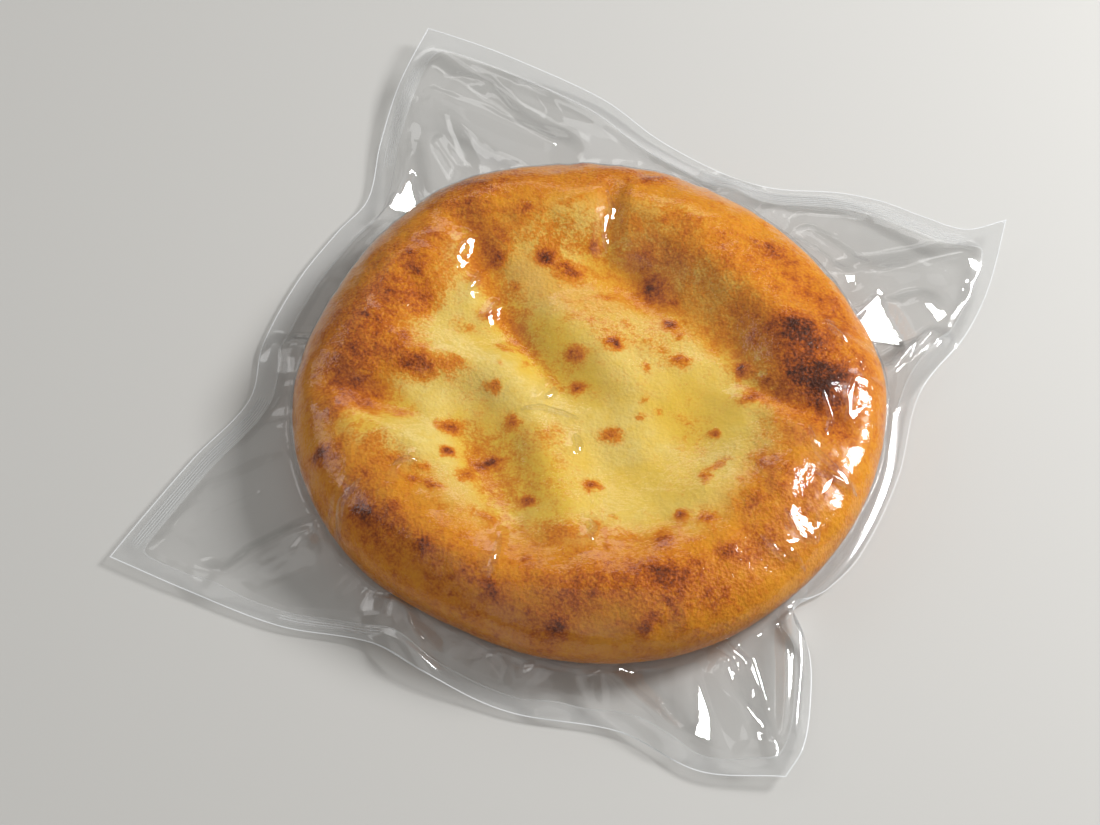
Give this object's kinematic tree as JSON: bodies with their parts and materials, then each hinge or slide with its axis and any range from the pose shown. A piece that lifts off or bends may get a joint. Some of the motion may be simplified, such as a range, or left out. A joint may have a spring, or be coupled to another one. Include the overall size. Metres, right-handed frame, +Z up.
{
  "type": "vacuum-packed khachapuri bread",
  "caption": "Round flat cheese bread with a broad browned rim and a soft uneven cheese top, sealed in a clear vacuum pouch with a creased flange and four corners.",
  "frame": {"origin": "at table height under the middle of the bread, on the pouch's flat underside", "axes": "+Z up; +X to the right and +Y away from the picture's camera"},
  "size_m": [0.371, 0.378, 0.0358],
  "materials": {
    "baked_crust": "baked cheese and dough, golden yellow with toasted brown patches, buttery sheen",
    "clear_film": "clear glossy heat-sealed packaging film"
  },
  "bodies": {
    "root": {"khachapuri": "baked_crust", "vacuum_pouch": "clear_film"}
  },
  "joints": []
}
